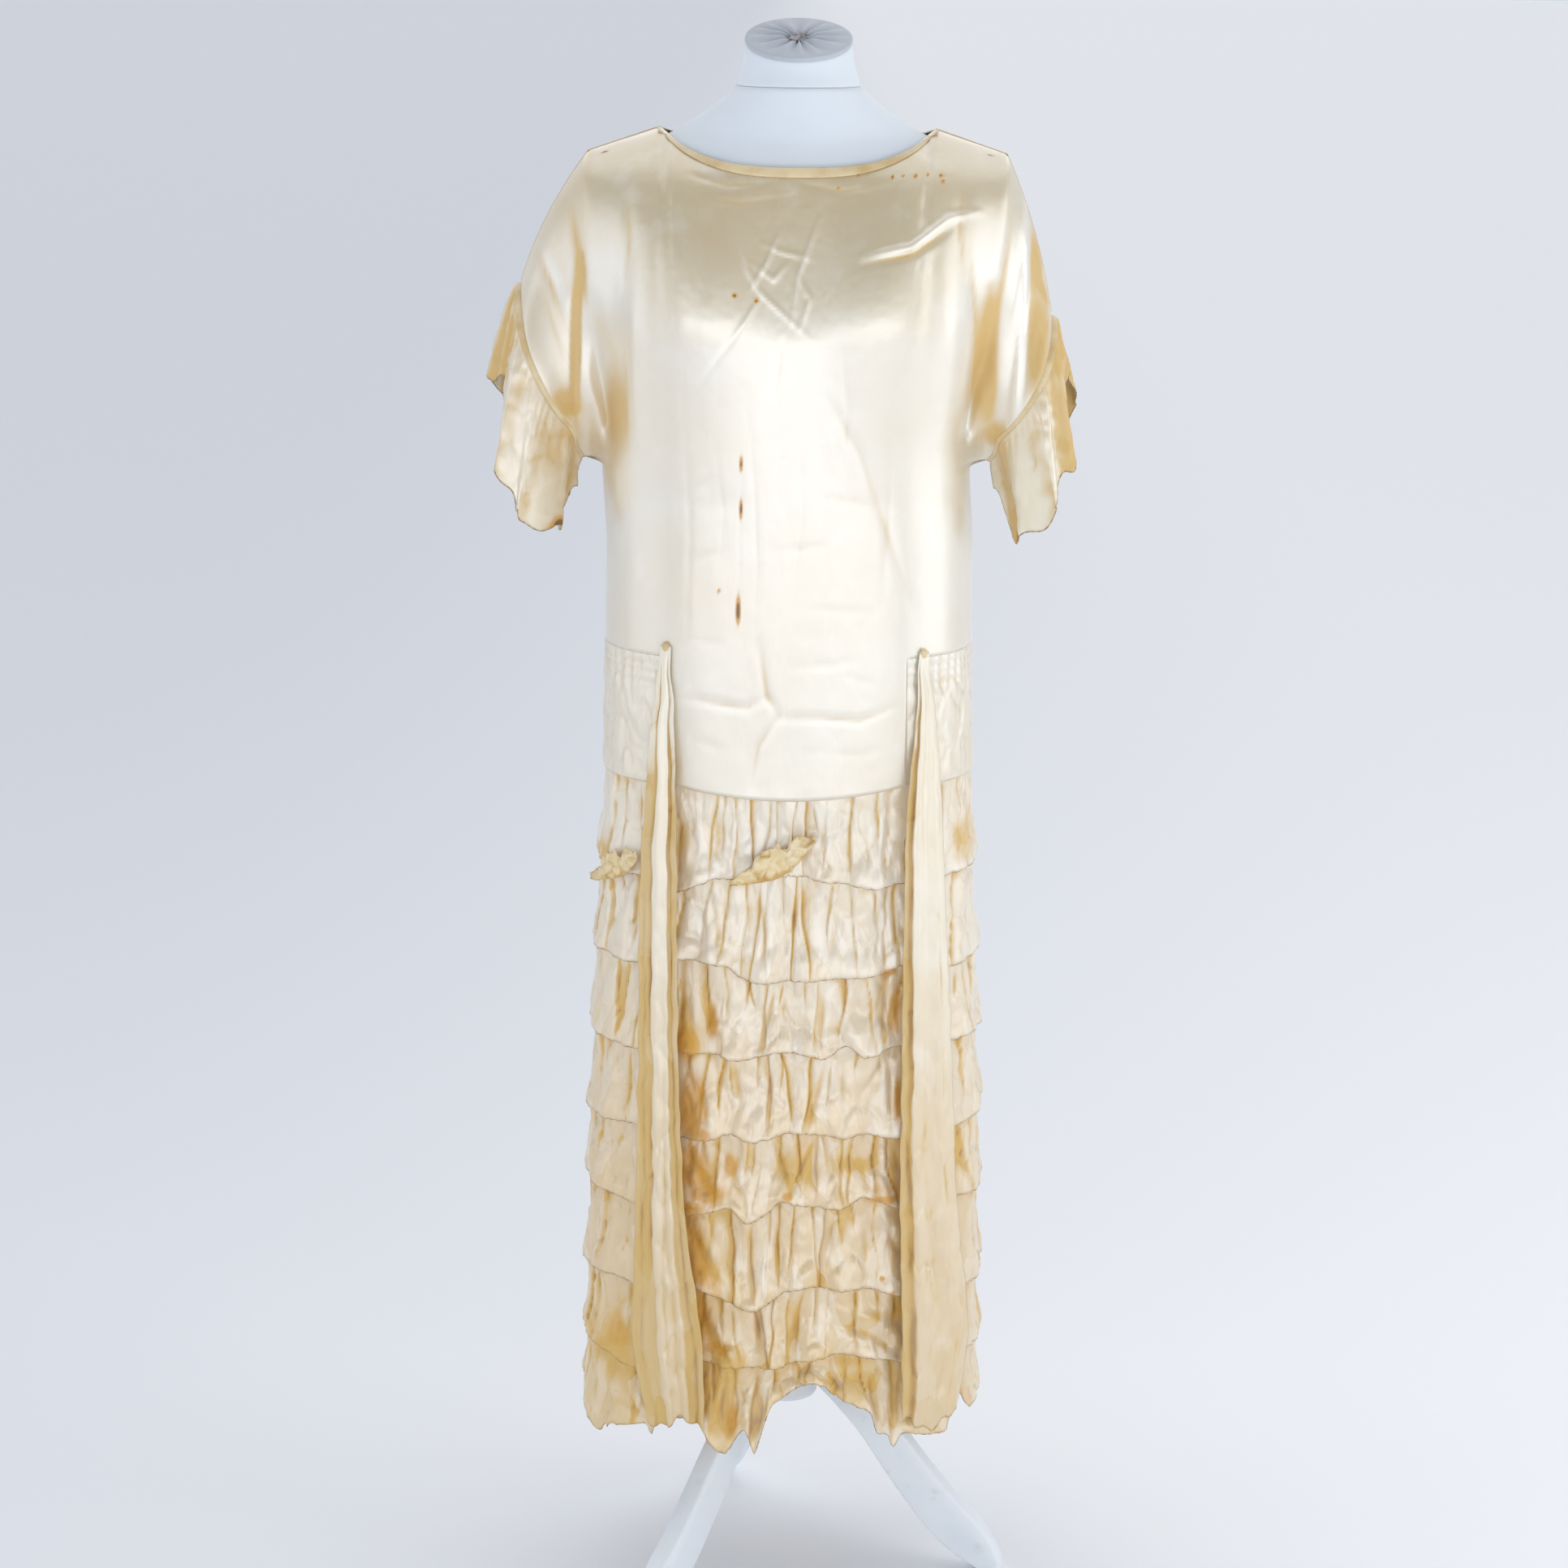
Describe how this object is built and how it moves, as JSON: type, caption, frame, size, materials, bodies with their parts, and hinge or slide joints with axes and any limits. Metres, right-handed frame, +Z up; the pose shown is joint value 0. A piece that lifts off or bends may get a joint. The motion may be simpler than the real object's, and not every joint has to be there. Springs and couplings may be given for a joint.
{
  "type": "wedding dress on a dress form",
  "caption": "Straight satin wedding dress with flounced kimono sleeves, a tiered skirt and hanging streamers, worn by a limbless dress form on a three-legged stand.",
  "frame": {"origin": "on the floor, under the middle of the whole part's box", "axes": "+Z up along the form's pole, -Y the way the front of the dress faces, +X to the right of someone who faces it"},
  "size_m": [0.541, 0.3762, 1.4672],
  "materials": {
    "satin": "aged ivory silk satin, glossy, with rust stains",
    "tier_satin": "aged ivory silk satin, gathered, golden in the folds",
    "binding_satin": "narrow bias satin, a little darker",
    "form_jersey": "matte bluish white jersey",
    "cap_jersey": "matte grey jersey, gathered to a knot",
    "stand_paint": "white satin paint"
  },
  "bodies": {
    "root": {"front": "satin", "neck_binding_front": "binding_satin", "back": "satin", "neck_binding_back": "binding_satin", "hip_yoke_left": "tier_satin", "hip_yoke_right": "tier_satin", "cuff_left": "binding_satin", "cuff_right": "binding_satin", "flounce_left": "satin", "flounce_right": "satin", "tier_1": "tier_satin", "tier_2": "tier_satin", "tier_3": "tier_satin", "tier_4": "tier_satin", "tier_5": "tier_satin", "tier_6": "tier_satin", "tier_7": "tier_satin", "tier_8": "tier_satin", "streamer_left": "tier_satin", "streamer_right": "tier_satin", "form_torso": "form_jersey", "form_neck": "form_jersey", "neck_cap": "cap_jersey", "form_pole": "stand_paint", "stand_hub": "stand_paint", "leg_right": "stand_paint", "leg_left": "stand_paint", "leg_back": "stand_paint"}
  },
  "joints": []
}
